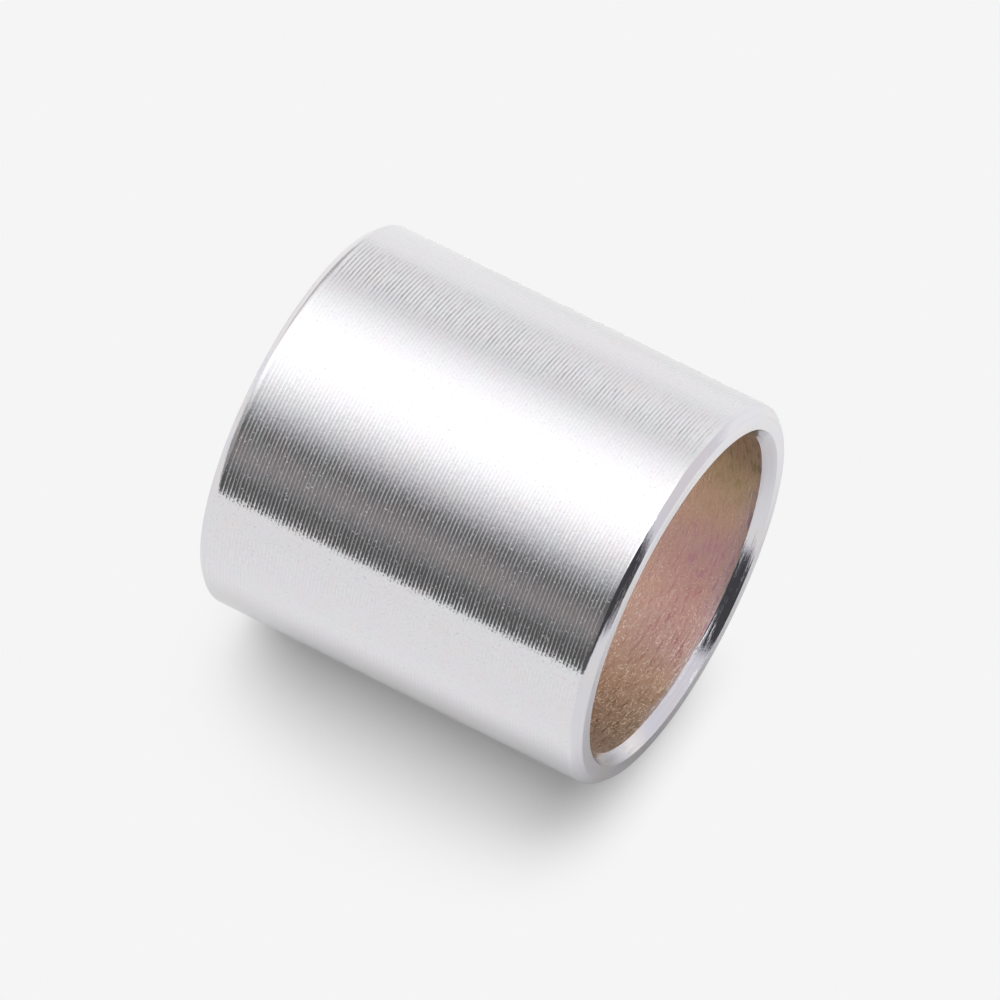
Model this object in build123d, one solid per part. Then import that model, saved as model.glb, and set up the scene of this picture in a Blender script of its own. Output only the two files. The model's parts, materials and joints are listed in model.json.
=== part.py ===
from build123d import *
import os

# Turned steel spacer sleeve: one open tube with square ends, each end chamfered
# outside and in the bore. It stands on one end, +Z along its axis, with the
# origin at the centre of that end. Millimetres.

bore_diameter = 16.0
wall = 1.5  # 19 outside
length = 20.0

outer_chamfer = 0.4  # 45 degrees, on both ends
bore_chamfer_width = 0.42  # lead-in, measured across the end face
bore_chamfer_depth = 0.55  # lead-in, measured along the bore


def wall_section():
    """The wall cut on one side of the axis, with all four corners chamfered."""
    bore_radius = bore_diameter / 2
    outer_radius = bore_radius + wall
    face_inner = bore_radius + bore_chamfer_width
    face_outer = outer_radius - outer_chamfer
    corners = [
        (face_inner, 0),
        (face_outer, 0),
        (outer_radius, outer_chamfer),
        (outer_radius, length - outer_chamfer),
        (face_outer, length),
        (face_inner, length),
        (bore_radius, length - bore_chamfer_depth),
        (bore_radius, bore_chamfer_depth),
    ]
    with BuildSketch(Plane.XZ) as section:
        with BuildLine():
            Polyline(*corners, close=True)
        make_face()
    return section.sketch


def sleeve():
    """The wall section turned once round the axis."""
    with BuildPart() as turned:
        add(wall_section())
        revolve(axis=Axis.Z)
    return turned.part


parts = {"sleeve": sleeve()}

os.makedirs("parts", exist_ok=True)
for name, solid in parts.items():
    solid.label = name
    export_step(solid, f"parts/{name}.step")
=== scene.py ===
import json
import math
import random

import bpy
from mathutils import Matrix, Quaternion, Vector


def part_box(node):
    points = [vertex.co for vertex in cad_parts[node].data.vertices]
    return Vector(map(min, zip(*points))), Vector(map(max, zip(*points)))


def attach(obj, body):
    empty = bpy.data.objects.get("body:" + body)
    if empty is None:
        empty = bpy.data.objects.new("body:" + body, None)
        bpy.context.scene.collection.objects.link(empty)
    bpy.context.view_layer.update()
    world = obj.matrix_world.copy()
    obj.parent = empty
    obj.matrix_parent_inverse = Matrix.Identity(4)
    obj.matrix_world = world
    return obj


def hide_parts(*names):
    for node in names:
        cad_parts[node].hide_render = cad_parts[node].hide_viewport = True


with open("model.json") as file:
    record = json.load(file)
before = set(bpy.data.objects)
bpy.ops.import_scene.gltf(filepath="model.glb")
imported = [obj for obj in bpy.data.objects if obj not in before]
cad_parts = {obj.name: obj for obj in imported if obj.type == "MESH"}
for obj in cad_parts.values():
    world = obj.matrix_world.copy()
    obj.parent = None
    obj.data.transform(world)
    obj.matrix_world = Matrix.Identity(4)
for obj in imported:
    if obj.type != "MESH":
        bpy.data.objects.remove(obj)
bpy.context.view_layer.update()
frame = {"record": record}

# A turned steel spacer sleeve, bright zinc plated. It stands on its end; the camera is rolled
# so that it is seen lying along a pale table, and the table stands upright beside it.

mm = 0.001
closeness = 0.004 * mm  # places nearer to each other than this count as the same
mounts = {mount["name"]: mount for mount in frame["record"]["mounts"]}


class Signal:
    # an output socket of a node tree; sums and products of signals become Math nodes

    def __init__(self, tree, socket=None):
        self.tree, self.socket = tree, socket

    def node(self, kind, settings=None, inputs=None, output=0):
        made = self.tree.nodes.new(kind)
        for name, value in (settings or {}).items():
            if name == "stops":
                setStops(made.color_ramp, value)
            else:
                setattr(made, name, value)
        for name, value in (inputs or {}).items():
            if isinstance(value, Signal):
                self.tree.links.new(value.socket, made.inputs[name])
            else:
                made.inputs[name].default_value = value
        return Signal(self.tree, made.outputs[output]) if made.outputs else made

    def maths(self, operation, *values):
        return self.node("ShaderNodeMath", {"operation": operation}, dict(enumerate(values)))

    def __add__(self, other):
        return self.maths("ADD", self, other)

    def __radd__(self, other):
        return self.maths("ADD", other, self)

    def __sub__(self, other):
        return self.maths("SUBTRACT", self, other)

    def __rsub__(self, other):
        return self.maths("SUBTRACT", other, self)

    def __mul__(self, other):
        return self.maths("MULTIPLY", self, other)

    def __rmul__(self, other):
        return self.maths("MULTIPLY", other, self)

    def __truediv__(self, other):
        return self.maths("DIVIDE", self, other)

    def __rtruediv__(self, other):
        return self.maths("DIVIDE", other, self)

    def dot(self, vector):
        return self.node("ShaderNodeVectorMath", {"operation": "DOT_PRODUCT"}, {0: self, 1: vector}, "Value")

    def between(self, low, high, atLow=0.0, atHigh=1.0):
        # a soft step from atLow to atHigh as the signal goes from low to high
        return self.node("ShaderNodeMapRange", {"interpolation_type": "SMOOTHSTEP"}, {
            "Value": self, "From Min": low, "From Max": high, "To Min": atLow, "To Max": atHigh})

    def noise(self, scale, detail=3.0, roughness=0.5):
        # scale is in features a metre
        return self.node("ShaderNodeTexNoise", {"noise_dimensions": "3D"},
                         {"Vector": self, "Scale": scale, "Detail": detail, "Roughness": roughness})

    def alongSection(self, stretch):
        # a place whose Z runs along the wall's section, X and Y being drawn out along the turning
        flat = self.node("ShaderNodeVectorMath", {"operation": "MULTIPLY"}, {0: self, 1: (1, 1, 0)})
        radius = self.node("ShaderNodeVectorMath", {"operation": "LENGTH"}, {0: flat}, "Value")
        run = self.dot((0, 0, 1)) + radius * 3
        thin = self.node("ShaderNodeVectorMath", {"operation": "DIVIDE"}, {0: flat, 1: (stretch,) * 3})
        upward = self.node("ShaderNodeCombineXYZ", inputs={"Z": run})
        return self.node("ShaderNodeVectorMath", {"operation": "ADD"}, {0: thin, 1: upward})

    def blend(self, first, second):
        # colours mixed by this signal, 0 giving the first
        return self.node("ShaderNodeMix", {"data_type": "RGBA"},
                         {"Factor": self, 6: colour(first), 7: colour(second)}, 2)


def colour(value):
    return value if isinstance(value, Signal) else (*value, 1.0)


def setStops(ramp, stops):
    while len(ramp.elements) > 1:
        ramp.elements.remove(ramp.elements[-1])
    for index, (place, shade) in enumerate(stops):
        stop = ramp.elements[0] if index == 0 else ramp.elements.new(place)
        stop.position = place
        stop.color = (*shade, 1.0) if isinstance(shade, tuple) else (shade, shade, shade, 1.0)


def newMaterial(name):
    material = bpy.data.materials.new(name)
    material.use_nodes = True
    material.node_tree.nodes.clear()
    return material, Signal(material.node_tree)


def finishMaterial(start, surface):
    start.node("ShaderNodeOutputMaterial", inputs={"Surface": surface})


def direction(azimuth, elevation=0.0):
    # the unit vector towards an azimuth and elevation in degrees, azimuth 0 being -Y and 90 +X
    a, e = math.radians(azimuth), math.radians(elevation)
    return Vector((math.sin(a) * math.cos(e), -math.cos(a) * math.cos(e), math.sin(e)))


cameraValues = {
    "azimuth": 73.85,
    "elevation": 15.85,
    "roll": 116.37,  # degrees, turns the upright view until the sleeve lies
    "distance": 0.7243,
    "lens": 576.0,
    "aimOffset": (-0.14 * mm, -0.27 * mm, 0.21 * mm),  # from the sleeve's centre
    "clip": (0.01, 10.0),
}


def makeCamera(values):
    low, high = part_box("sleeve")
    aim = (low + high) / 2 + Vector(values["aimOffset"])
    back = direction(values["azimuth"], values["elevation"])
    bpy.ops.object.camera_add(location=aim + back * values["distance"])
    camera = bpy.context.object
    camera.name = "camera"
    camera.rotation_mode = "QUATERNION"
    upright = (-back).to_track_quat("-Z", "Y")
    camera.rotation_quaternion = Quaternion(back, math.radians(values["roll"])) @ upright
    camera.data.lens = values["lens"]
    camera.data.clip_start, camera.data.clip_end = values["clip"]
    bpy.context.scene.camera = camera


makeCamera(cameraValues)
print("camera placed")


sleeveValues = {
    "around": 144,  # faces round the sleeve
    "feed": 0.183 * mm,  # distance between turning marks
    # one mark from crest to crest: how far up the feed, and how much of the depth
    "mark": [(0.0, 0.0), (0.2, 0.64), (0.4, 0.96), (0.6, 0.96), (0.8, 0.64), (1.0, 0.0)],
    "markDepth": 0.009 * mm,
    "unevenness": 0.12,  # how much one mark's depth differs from the next
    "seed": 7,
    "mergeWithin": 0.002 * mm,
    "land": 0.2 * mm,  # plain strip between the marks and the chamfers
    "boreChamferWidth": 0.42 * mm,
    # how far each corner is rounded over, and in how many steps
    "shoulder": (0.14 * mm, 4),
    "edgeBreak": (0.05 * mm, 2),
    "boreEdgeBreak": (0.008 * mm, 2),
    "boreRows": 60,
    "sharpAngle": 12.0,  # edges turning more than this many degrees stay crisp
}


def pickEdges(piece, test):
    # leaves only the edges selected whose two ends both pass the test
    bpy.ops.object.mode_set(mode="OBJECT")
    mesh = piece.data
    chosen = [test(vertex.co) for vertex in mesh.vertices]
    mesh.polygons.foreach_set("select", [False] * len(mesh.polygons))
    mesh.vertices.foreach_set("select", chosen)
    mesh.edges.foreach_set("select", [chosen[edge.vertices[0]] and chosen[edge.vertices[1]]
                                      for edge in mesh.edges])
    bpy.ops.object.mode_set(mode="EDIT")


def extrudeRing(rise, fromRadius, toRadius):
    # carries the selected ring up by rise and to another radius
    bpy.ops.mesh.extrude_edges_move(TRANSFORM_OT_translate={"value": (0, 0, rise)})
    scale = toRadius / fromRadius
    bpy.ops.transform.resize(value=(scale, scale, 1), center_override=(0, 0, 0))


def nearTo(value, target):
    return abs(value - target) < closeness


def makeSleeve(values):
    low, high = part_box("sleeve")
    height = high.z - low.z
    outer = mounts["outside"]["dims"]["r_mm"] * mm
    bore = mounts["bore"]["dims"]["r_mm"] * mm
    outerChamfer = (height - mounts["outside"]["dims"]["length_mm"] * mm) / 2
    boreChamfer = (height - mounts["bore"]["dims"]["length_mm"] * mm) / 2
    faceInner = bore + values["boreChamferWidth"]
    faceOuter = outer - outerChamfer

    # one turning mark, a shallow round-bottomed ring, repeated along the wall
    marksLow = outerChamfer + values["land"]
    marksLength = height - 2 * marksLow
    count = round(marksLength / values["feed"])
    feed = marksLength / count
    bpy.ops.object.select_all(action="DESELECT")
    bpy.ops.mesh.primitive_circle_add(vertices=values["around"], radius=outer, fill_type="NOTHING",
                                      location=(0, 0, marksLow))
    sleeve = bpy.context.object
    sleeve.name = "turnedSleeve"
    bpy.ops.object.transform_apply(location=True)
    bpy.ops.object.mode_set(mode="EDIT")
    for (start, depth), (stop, nextDepth) in zip(values["mark"], values["mark"][1:]):
        extrudeRing((stop - start) * feed, outer - depth * values["markDepth"],
                    outer - nextDepth * values["markDepth"])
    bpy.ops.object.mode_set(mode="OBJECT")
    repeat = sleeve.modifiers.new("marks", "ARRAY")
    repeat.count = count
    repeat.use_relative_offset = False
    repeat.use_constant_offset = True
    repeat.constant_offset_displace = (0, 0, feed)
    repeat.use_merge_vertices = True
    repeat.merge_threshold = values["mergeWithin"]
    bpy.ops.object.modifier_apply(modifier=repeat.name)

    # no two marks are cut quite alike
    draw = random.Random(values["seed"])
    evenness = [1 + draw.uniform(-1, 1) * values["unevenness"] for mark in range(count + 1)]
    for vertex in sleeve.data.vertices:
        depth = outer - vertex.co.xy.length
        # the small share puts a crest with the mark above it
        mark = min(int((vertex.co.z - marksLow) / feed + 0.01), count)
        newRadius = outer - depth * evenness[mark]
        vertex.co.xy = vertex.co.xy.normalized() * newRadius

    # both ends: land, outer chamfer, flat ring and lead-in
    for end, sign in ((marksLow, -1), (height - marksLow, 1)):
        pickEdges(sleeve, lambda co: nearTo(co.z, end))
        extrudeRing(sign * values["land"], outer, outer)
        extrudeRing(sign * outerChamfer, outer, faceOuter)
        extrudeRing(0, faceOuter, faceInner)
        extrudeRing(-sign * boreChamfer, faceInner, bore)

    # the bore wall joins the two lead-ins
    pickEdges(sleeve, lambda co: nearTo(co.xy.length, bore))
    bpy.ops.mesh.bridge_edge_loops(number_cuts=values["boreRows"])

    # the turned corners are rounded over
    for radius, inset, (offset, steps) in (
            (outer, outerChamfer, values["shoulder"]), (faceOuter, 0, values["edgeBreak"]),
            (faceInner, 0, values["boreEdgeBreak"]), (bore, boreChamfer, values["boreEdgeBreak"])):
        pickEdges(sleeve, lambda co: nearTo(co.xy.length, radius)
                  and (nearTo(co.z, inset) or nearTo(co.z, height - inset)))
        bpy.ops.mesh.bevel(offset=offset, segments=steps, affect="EDGES")
    bpy.ops.mesh.select_all(action="SELECT")
    bpy.ops.mesh.normals_make_consistent(inside=False)
    bpy.ops.object.mode_set(mode="OBJECT")
    bpy.ops.object.shade_smooth_by_angle(angle=math.radians(values["sharpAngle"]))
    return sleeve


sleeve = makeSleeve(sleeveValues)
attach(sleeve, "root")
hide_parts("sleeve")
print("sleeve turned,", len(sleeve.data.polygons), "faces")


zincValues = {
    "plate": (0.80, 0.785, 0.815),
    "plateWarm": (0.815, 0.785, 0.80),
    "plateCool": (0.79, 0.80, 0.81),
    "grain": (0.75, 0.74, 0.76),
    "grainShare": 0.5,
    # features a metre
    "tintScale": 900,
    "warmthScale": 700,
    "grainScale": 7000,
    "streakScale": 11000,
    "dashScale": 9000,
    "speckScale": 11000,
    "fineScale": 9000,
    "specks": (0.70, 0.78),  # a higher start leaves fewer of them
    "roughness": 0.05,
    "relief": 0.02 * mm,  # height of the fine scratches and the plating's grain
}

endValues = {
    "plate": (0.785, 0.775, 0.815),
    "plateWarm": (0.81, 0.78, 0.79),
    "ring": (0.66, 0.65, 0.685),  # the fine rings left by the cutter
    "ringShare": 0.25,
    # features a metre
    "tintScale": 350,
    "ringScale": 6000,
    "patchScale": 1500,
    "scratchScale": 14000,
    "fineScale": 7000,
    "roughness": 0.08,
    "relief": 0.009 * mm,
}

boreValues = {
    # the film's colours round the bore, by degrees from the wall that the camera looks onto
    "film": [(-180, (0.75, 0.57, 0.46)), (-135, (0.83, 0.54, 0.55)), (-100, (0.70, 0.52, 0.60)),
             (-64, (0.40, 0.36, 0.25)), (-48, (0.47, 0.39, 0.26)), (-32, (0.68, 0.48, 0.36)),
             (-16, (0.64, 0.39, 0.44)), (0, (0.79, 0.46, 0.53)), (16, (0.80, 0.53, 0.73)),
             (32, (0.88, 0.68, 0.62)), (48, (0.68, 0.66, 0.42)), (64, (0.47, 0.49, 0.32)),
             (100, (0.75, 0.57, 0.46)), (135, (0.80, 0.54, 0.60)), (180, (0.75, 0.57, 0.46))],
    "wander": 0.08,  # how far the film's borders stray, in turns
    "deep": (0.98, 0.80, 0.68),
    "deepFrom": (2 * mm, 5 * mm),
    # the next three each keep to one stretch of the film, 0 being its first colour and 1 its last
    "mouth": (0.58, 0.50, 0.72),
    "mouthTurn": ((0.46, 0.51), (0.60, 0.66)),
    "mouthDepth": (0.5 * mm, 1.6 * mm),
    "rim": (0.34, 0.30, 0.36),  # painted shade, a dark line right at the lead-in
    "rimTurn": (0.49, 0.52),
    "rimShadeDepth": (0.6 * mm, 0.8 * mm),
    "worn": (0.66, 0.62, 0.65),
    "wornTurn": ((0.34, 0.38), (0.46, 0.49)),
    "wornDepth": 1.2 * mm,
    "wornEdge": 0.3 * mm,
    "fleck": (0.99, 0.88, 0.76),
    "feed": 0.24 * mm,  # distance between the bore's turning lines
    "waver": 7.0,  # how far the lines stray, in radians of their wave
    # features a metre
    "wanderScale": 300,
    "waverScale": 2500,
    "scratchScale": 14000,
    "breakScale": 7000,
    "curlScale": 4500,
    "curlBreakScale": 8000,
    "fineScale": 12000,
    "roughness": 0.36,
    "relief": 0.03 * mm,
}


def metal(start, shade, roughness, relief, height):
    bump = start.node("ShaderNodeBump", inputs={"Height": relief, "Strength": 1.0, "Distance": height})
    return start.node("ShaderNodeBsdfPrincipled", inputs={
        "Base Color": shade, "Metallic": 1.0, "Roughness": roughness, "Normal": bump})


def makeZinc(values):
    material, start = newMaterial("brightZinc")
    place = start.node("ShaderNodeTexCoord", output="Object")
    tint = place.noise(values["tintScale"], detail=2).between(0.4, 0.6)
    warmth = place.noise(values["warmthScale"], detail=2).between(0.4, 0.6)
    shade = tint.blend(values["plate"], warmth.blend(values["plateWarm"], values["plateCool"]))
    grain = place.noise(values["grainScale"], detail=2).between(0.4, 0.62)
    shade = (grain * values["grainShare"]).blend(shade, values["grain"])
    streaks = place.alongSection(25).noise(values["streakScale"], detail=3, roughness=0.6)
    dashes = place.alongSection(5).noise(values["dashScale"], detail=2, roughness=0.6)
    specks = place.noise(values["speckScale"], detail=1).between(*values["specks"])
    fine = place.noise(values["fineScale"], detail=2)
    relief = streaks * 0.25 + dashes * 0.4 + specks * 0.4 + fine * 0.15
    finishMaterial(start, metal(start, shade, values["roughness"], relief, values["relief"]))
    return material


def makeEnds(values):
    material, start = newMaterial("cutEnds")
    place = start.node("ShaderNodeTexCoord", output="Object")
    tint = place.noise(values["tintScale"], detail=2).between(0.45, 0.6)
    shade = tint.blend(values["plate"], values["plateWarm"])
    ring = place.alongSection(60).noise(values["ringScale"], detail=3, roughness=0.6).between(0.5, 0.66)
    shade = (ring * values["ringShare"]).blend(shade, values["ring"])
    rough = place.alongSection(6).noise(values["patchScale"], detail=2).between(0.45, 0.62, 0.35, 1.2)
    scratches = place.alongSection(12).noise(values["scratchScale"], detail=3, roughness=0.6)
    relief = scratches * rough + place.noise(values["fineScale"]) * 0.2
    finishMaterial(start, metal(start, shade, values["roughness"], relief, values["relief"]))
    return material


def makeBore(values, height):
    material, start = newMaterial("boreFilm")
    place = start.node("ShaderNodeTexCoord", output="Object")
    away = -direction(cameraValues["azimuth"])
    across = Vector((0, 0, 1)).cross(away)
    turn = place.dot(across).maths("ARCTAN2", place.dot(across), place.dot(away)) / (2 * math.pi) + 0.5
    wander = (place.noise(values["wanderScale"], detail=2) - 0.5) * values["wander"]
    stops = [((degrees + 180) / 360, shade) for degrees, shade in values["film"]]
    film = start.node("ShaderNodeValToRGB", {"stops": stops}, {0: turn + wander})
    rise = place.dot((0, 0, 1))
    depth = rise.maths("MINIMUM", rise, height - rise)
    shade = (depth.between(*values["deepFrom"]) * 0.6).blend(film, values["deep"])
    opening, closing = values["mouthTurn"]
    mouth = turn.between(*opening) * turn.between(*closing, 1, 0)
    shade = (mouth * depth.between(*values["mouthDepth"], 0.7, 0)).blend(shade, values["mouth"])
    # painted shade in the corner where the lead-in meets the bore, on one stretch of the film
    rim = turn.between(*values["rimTurn"]) * depth.between(*values["rimShadeDepth"], 0.7, 0)
    shade = rim.blend(shade, values["rim"])

    # fine turning lines, broken up, and small curled flecks that thicken towards the bottom
    scratches = place.alongSection(30).noise(values["scratchScale"], detail=3, roughness=0.7)
    waver = place.alongSection(12).noise(values["waverScale"], detail=2) * values["waver"]
    lines = (rise * (2 * math.pi / values["feed"]) + waver).maths("SINE").between(0, 0.9)
    lines = lines * place.alongSection(5).noise(values["breakScale"], detail=2).between(0.3, 0.55)
    lines = lines.maths("MAXIMUM", lines, scratches.between(0.6, 0.75))
    curl = place.noise(values["curlScale"], detail=1) - 0.5
    curl = curl.maths("ABSOLUTE", curl).between(0.03, 0.07, 1, 0)
    curl = curl * place.noise(values["curlBreakScale"], detail=1).between(0.5, 0.58)
    curl = curl * turn.between(0.42, 0.56, 1, 0.3)
    shade = (lines * 0.8).blend(shade, values["fleck"])
    shade = (curl * 0.8).blend(shade, values["fleck"])
    opening, closing = values["wornTurn"]
    rubbed = turn.between(*opening) * turn.between(*closing, 1, 0)
    worn = (depth - scratches * values["wornDepth"]).between(0, values["wornEdge"], 1, 0) * rubbed
    shade = (worn * 0.8).blend(shade, values["worn"])
    fine = place.alongSection(3).noise(values["fineScale"])
    relief = scratches * 0.5 + lines * 0.3 + curl * 0.4 + fine * 0.3
    finishMaterial(start, metal(start, shade, values["roughness"], relief, values["relief"]))
    return material


def finishSleeve():
    # the film lies in the bore, the cut finish on the ends and the lead-ins, bright zinc on the rest
    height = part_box("sleeve")[1].z
    for material in (makeZinc(zincValues), makeEnds(endValues), makeBore(boreValues, height)):
        sleeve.data.materials.append(material)
    zinc, ends, film = range(3)
    filmEdge = mounts["bore"]["dims"]["r_mm"] * mm + 0.02 * mm
    leadInEdge = filmEdge + 0.6 * mm
    endDepth = (height - mounts["outside"]["dims"]["length_mm"] * mm) / 2
    for face in sleeve.data.polygons:
        radius, z = face.center.xy.length, face.center.z
        if radius < filmEdge:
            face.material_index = film
        elif radius < leadInEdge or min(z, height - z) < endDepth:
            face.material_index = ends
        else:
            face.material_index = zinc


finishSleeve()
print("zinc and bore finishes made")


tableValues = {
    "azimuth": 45.0,  # the way the table's top faces
    "reach": 0.4,
    "around": 96,  # corners of its round edge
    "paint": 0.905,
    # mirrored, the paint is darker close to the sleeve: painted shade, added to its real shadow
    "mirroredPaint": (8 * mm, 15 * mm, 0.70, 0.92),
    "background": 0.913,
    # the table goes over into the plain background between these distances
    "plain": (25 * mm, 60 * mm),
    "plainCentre": (4 * mm, 10 * mm),  # towards the camera's side, and up
    # seen directly, the shadow shows on the camera's side and fades out past the sleeve
    "shadowStart": (-5 * mm, 1 * mm),
    "shadowEnd": (10 * mm, 17 * mm),
    "shadowLow": (-3 * mm, 1 * mm),
    "shadowHigh": (17 * mm, 22 * mm),
    "taper": (9 * mm, 30.0),  # widest here, and how fast it narrows from there
    # mirrored, the table's glow is painted from a little brighter to a little darker towards the camera's
    # side
    "mirroredSide": (-12 * mm, 12 * mm, 0.95, 0.865),
    # and past the sleeve's ends more of it glows than is painted: painted light over its shadow, as the
    # metal mirrors it
    "pastLow": (-6 * mm, 0, 0.3, 1),
    "pastHigh": (20 * mm, 28 * mm, 0.8, 0.3),
    "pastFace": (19.5 * mm, 20 * mm),
    "pastFaceSide": (-8 * mm, 3 * mm, 0.5, 0),
    # a patch of painted shade there, slightly darker
    "paintedShadePatch": 0.06,
    "paintedShadePatchSide": (6 * mm, 14 * mm),
    "paintedShadePatchRise": (20 * mm, 26 * mm),
}

studioValues = {
    "radius": 0.4,
    # brightness by the angle from overhead, + on the camera's side
    "bands": [(-90, 0.90), (-79, 0.905), (-67, 0.955), (-60, 0.955), (-53, 0.90), (-47, 0.88),
              (-39, 1.0), (-31, 1.16), (-23, 1.26), (-10, 1.45), (0, 1.45), (9, 1.27), (17, 1.13),
              (25, 0.88), (33, (0.65, 0.655, 0.67)), (41, (0.355, 0.36, 0.375)), (48, 0.15), (52, 0.14),
              (58, (0.20, 0.185, 0.185)), (66, (0.25, 0.225, 0.22)), (73, 0.17), (79, 0.10), (90, 0.10)],
    # the same beyond the far end of the sleeve
    "farBands": [(-90, 0.62), (-79, 0.55), (-67, 0.46), (-58, 0.52), (-51, 0.74), (-45, 0.90),
                 (-39, 1.0), (-31, 1.16), (-23, 1.26), (-10, 1.45), (0, 1.45), (16, 1.32), (25, 1.16),
                 (33, 0.92), (41, 0.64), (49, 0.46), (57, 0.39), (73, 0.38), (81, 0.31), (90, 0.32)],
    "farFrom": (-0.39, -0.33),
    # and beyond the near end: bright high up, dark low down on the camera's side
    "nearFrom": (0.40, 0.60),
    "nearTop": (2.4, 2.4, 2.4),
    "nearWall": (0.75, 0.74, 0.78),
    "nearDark": (0.06, 0.06, 0.066),
    "darkSide": (-0.09, 0.01),
    "darkLift": (-0.01, 0.08),
    "topLift": (0.66, 0.80),
    "top": 2.4,  # the brightest any of these may be
    # the key light on the table
    "key": (10.0, -20.0),
    "keyEdge": (0.75, 0.98),
    "keyLevel": 3.9,
    "fill": 0.07,
    "roomLevel": 0.6,  # light from outside the studio
}


def rayKinds(start, *kinds):
    # 1 for a ray of any of these kinds, else 0
    path = start.node("ShaderNodeLightPath").socket.node
    total = Signal(start.tree, path.outputs[kinds[0]])
    for kind in kinds[1:]:
        total = total.maths("MAXIMUM", total, Signal(start.tree, path.outputs[kind]))
    return total


def makeTable(values):
    overhead = direction(values["azimuth"])
    towardCamera = direction(values["azimuth"] + 90)
    outer = mounts["outside"]["dims"]["r_mm"] * mm
    bpy.ops.object.select_all(action="DESELECT")
    bpy.ops.mesh.primitive_circle_add(vertices=values["around"], radius=values["reach"], fill_type="NGON",
                                      location=-overhead * outer,
                                      rotation=overhead.to_track_quat("Z", "Y").to_euler())
    table = bpy.context.object
    table.name = "paleTable"
    bpy.ops.object.transform_apply(location=True, rotation=True)
    material, start = newMaterial("paleTable")
    place = start.node("ShaderNodeTexCoord", output="Object")
    centreSide, centreRise = values["plainCentre"]
    centre = start.node("ShaderNodeVectorMath", {"operation": "SUBTRACT"},
                        {0: place, 1: towardCamera * centreSide + Vector((0, 0, centreRise))})
    away = centre.node("ShaderNodeVectorMath", {"operation": "LENGTH"}, {0: centre}, "Value")
    near = away.between(*values["plain"], 1, 0)
    side, rise = place.dot(towardCamera), place.dot((0, 0, 1))
    middle, narrowing = values["taper"]
    fromMiddle = rise - middle
    tapered = side + fromMiddle * fromMiddle * narrowing
    shown = side.between(*values["shadowStart"]) * tapered.between(*values["shadowEnd"], 1, 0)
    shown = shown * rise.between(*values["shadowLow"]) * rise.between(*values["shadowHigh"], 1, 0)
    # painted light: mirrored, part of the table's shadow is covered by glow, a little everywhere and most
    # past the sleeve's ends
    past = rise.between(*values["pastLow"]) * rise.between(*values["pastHigh"])
    past = past * (1 - rise.between(*values["pastFace"]) * side.between(*values["pastFaceSide"]))
    seen = rayKinds(start, "Is Camera Ray")
    painted = near * (seen * shown + (1 - seen) * past)
    # painted light and shade in the table's glow, seen only in the metal
    level = side.between(*values["mirroredSide"])
    # painted shade: a darker patch in the mirrored glow past the near end, on the camera's side
    paintedShadePatch = side.between(*values["paintedShadePatchSide"]) * rise.between(*values["paintedShadePatchRise"])
    level = level - paintedShadePatch * values["paintedShadePatch"]
    # seen directly the glow is the plain background; otherwise it carries the painted light and shade
    level = seen * values["background"] + (1 - seen) * level
    # painted shade: what the metal mirrors of the table is darker close to the sleeve
    mirroredPaint = side.maths("ABSOLUTE", side).between(*values["mirroredPaint"])
    paint = start.node("ShaderNodeBsdfDiffuse", inputs={
        "Color": seen * values["paint"] + (1 - seen) * mirroredPaint})
    glow = start.node("ShaderNodeEmission", inputs={"Color": level, "Strength": 1.0})
    front = start.node("ShaderNodeMixShader", inputs={0: painted, 1: glow, 2: paint})
    behind = start.node("ShaderNodeNewGeometry", output="Backfacing")
    clear = start.node("ShaderNodeBsdfTransparent")
    finishMaterial(start, start.node("ShaderNodeMixShader", inputs={0: behind, 1: front, 2: clear}))
    table.data.materials.append(material)


def levelColour(level, top):
    return tuple(share / top for share in (level if isinstance(level, tuple) else (level,) * 3))


def bandLevels(angle, bands, top):
    stops = [((place + 90) / 180, levelColour(level, top)) for place, level in bands]
    return angle.node("ShaderNodeValToRGB", {"stops": stops}, {0: angle})


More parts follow.
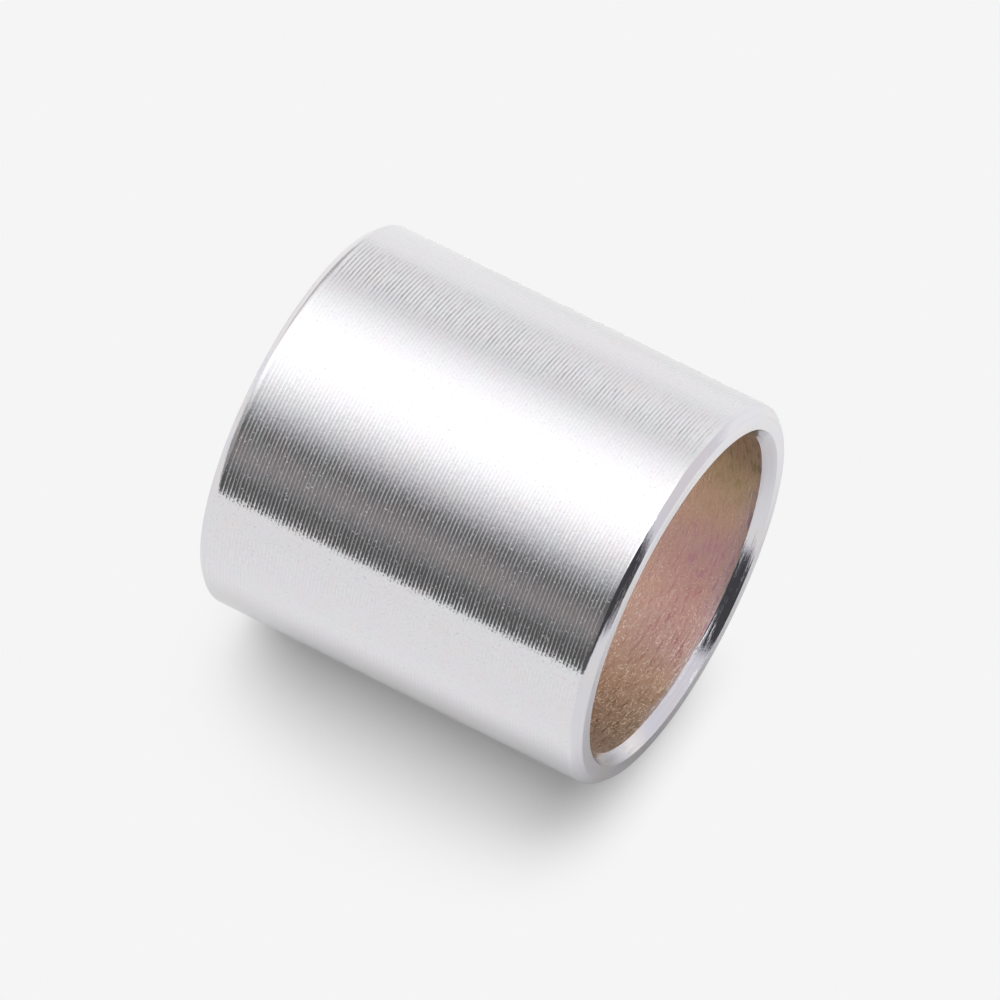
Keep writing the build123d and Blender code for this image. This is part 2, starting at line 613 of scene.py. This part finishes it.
def makeStudio(values, tableAzimuth):
    overhead = direction(tableAzimuth)
    towardCamera = direction(tableAzimuth + 90)
    outer = mounts["outside"]["dims"]["r_mm"] * mm
    bpy.ops.object.select_all(action="DESELECT")
    bpy.ops.mesh.primitive_uv_sphere_add(segments=48, ring_count=24, radius=values["radius"])
    studio = bpy.context.object
    studio.name = "studio"
    bpy.ops.object.mode_set(mode="EDIT")
    bpy.ops.mesh.select_all(action="SELECT")
    bpy.ops.mesh.bisect(plane_co=-overhead * outer, plane_no=overhead, clear_inner=True)
    bpy.ops.object.mode_set(mode="OBJECT")
    material, start = newMaterial("studio")
    place = start.node("ShaderNodeTexCoord", output="Object")
    ray = place.node("ShaderNodeVectorMath", {"operation": "NORMALIZE"}, {0: place})
    lift, side, along = ray.dot(overhead), ray.dot(towardCamera), ray.dot((0, 0, 1))
    angle = side.maths("ARCTAN2", side, lift) / math.pi + 0.5

    # what the metal mirrors
    top = values["top"]
    bands = bandLevels(angle, values["bands"], top)
    farBands = bandLevels(angle, values["farBands"], top)
    wall, dark, high = (levelColour(values[name], top) for name in ("nearWall", "nearDark", "nearTop"))
    low = side.between(*values["darkSide"]) * lift.between(*values["darkLift"])
    near = lift.between(*values["topLift"]).blend(low.blend(wall, dark), high)
    mirrored = along.between(*values["farFrom"]).blend(farBands, bands)
    mirrored = along.between(*values["nearFrom"]).blend(mirrored, near)

    # what lights the table
    azimuth, tilt = values["key"]
    key = ray.dot(direction(tableAzimuth + azimuth, tilt)).between(*values["keyEdge"])
    lamp = (key * values["keyLevel"] + values["fill"]) / top
    shade = rayKinds(start, "Is Diffuse Ray").blend(mirrored, lamp)
    finishMaterial(start, start.node("ShaderNodeEmission", inputs={"Color": shade, "Strength": top}))
    material.cycles.emission_sampling = "NONE"
    studio.data.materials.append(material)
    studio.visible_camera = False


def makeWorld(background, roomLevel):
    world = bpy.data.worlds.new("world")
    world.use_nodes = True
    world.node_tree.nodes.clear()
    bpy.context.scene.world = world
    start = Signal(world.node_tree)
    shown = rayKinds(start, "Is Camera Ray", "Is Glossy Ray", "Is Transmission Ray")
    strength = shown * background + (1 - shown) * roomLevel
    light = start.node("ShaderNodeBackground", inputs={"Color": (1, 1, 1, 1), "Strength": strength})
    start.node("ShaderNodeOutputWorld", inputs={"Surface": light})


makeTable(tableValues)
makeStudio(studioValues, tableValues["azimuth"])
makeWorld(tableValues["background"], studioValues["roomLevel"])
bpy.context.scene.view_settings.view_transform = "Standard"
print("table and studio ready")
